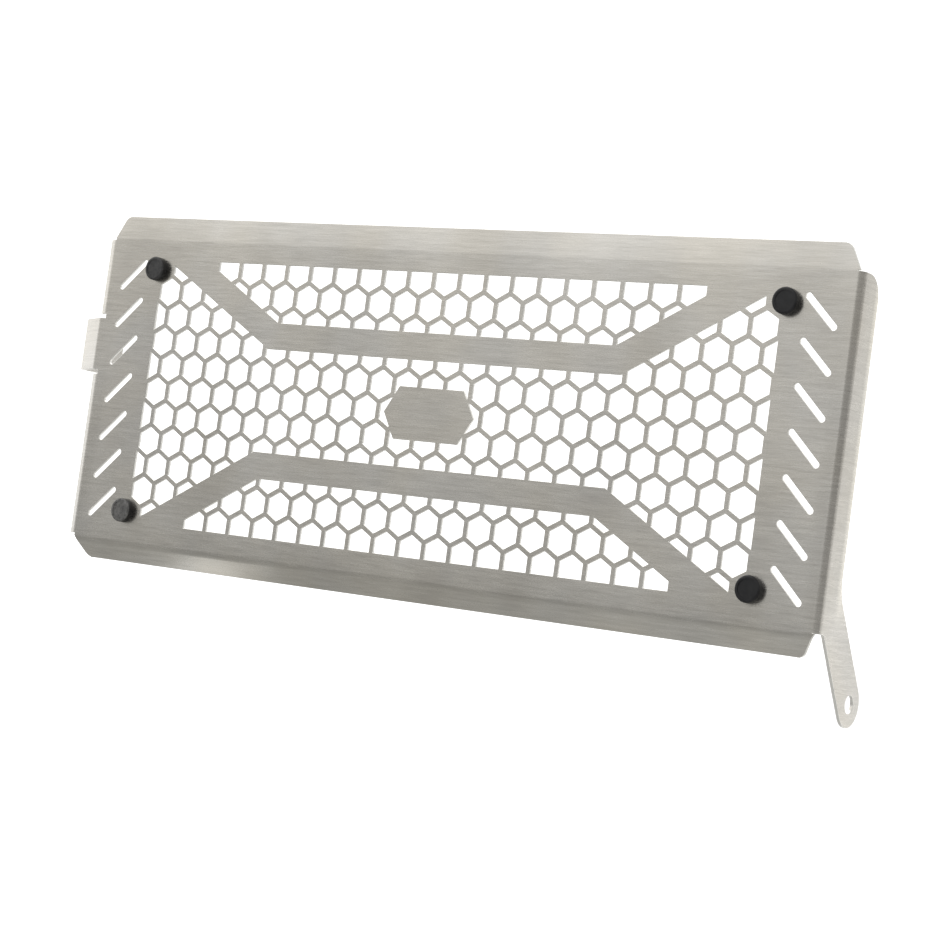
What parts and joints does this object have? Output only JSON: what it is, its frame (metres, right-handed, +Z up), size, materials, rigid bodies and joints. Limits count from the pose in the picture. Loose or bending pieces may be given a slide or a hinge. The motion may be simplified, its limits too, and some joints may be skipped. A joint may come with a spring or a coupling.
{
  "type": "motorcycle radiator guard",
  "caption": "Folded stainless radiator guard with a clipped honeycomb face, slotted sides, a hook tab, a bolted mounting leg and rubber bumpers at its corners",
  "frame": {"origin": "centre of the bolt hole in the mounting leg, at mid thickness of the flange", "axes": "+Z up the face, front face looks towards -Y, +X runs along the guard's length towards the leg and along the bolt"},
  "size_m": [0.3636, 0.0437, 0.1671],
  "materials": {
    "brushed_steel": "brushed",
    "rubber": "matte"
  },
  "bodies": {
    "root": {"guard_sheet": "brushed_steel", "bumper_upper_left": "rubber", "bumper_upper_right": "rubber", "bumper_lower_left": "rubber", "bumper_lower_right": "rubber"}
  },
  "joints": []
}
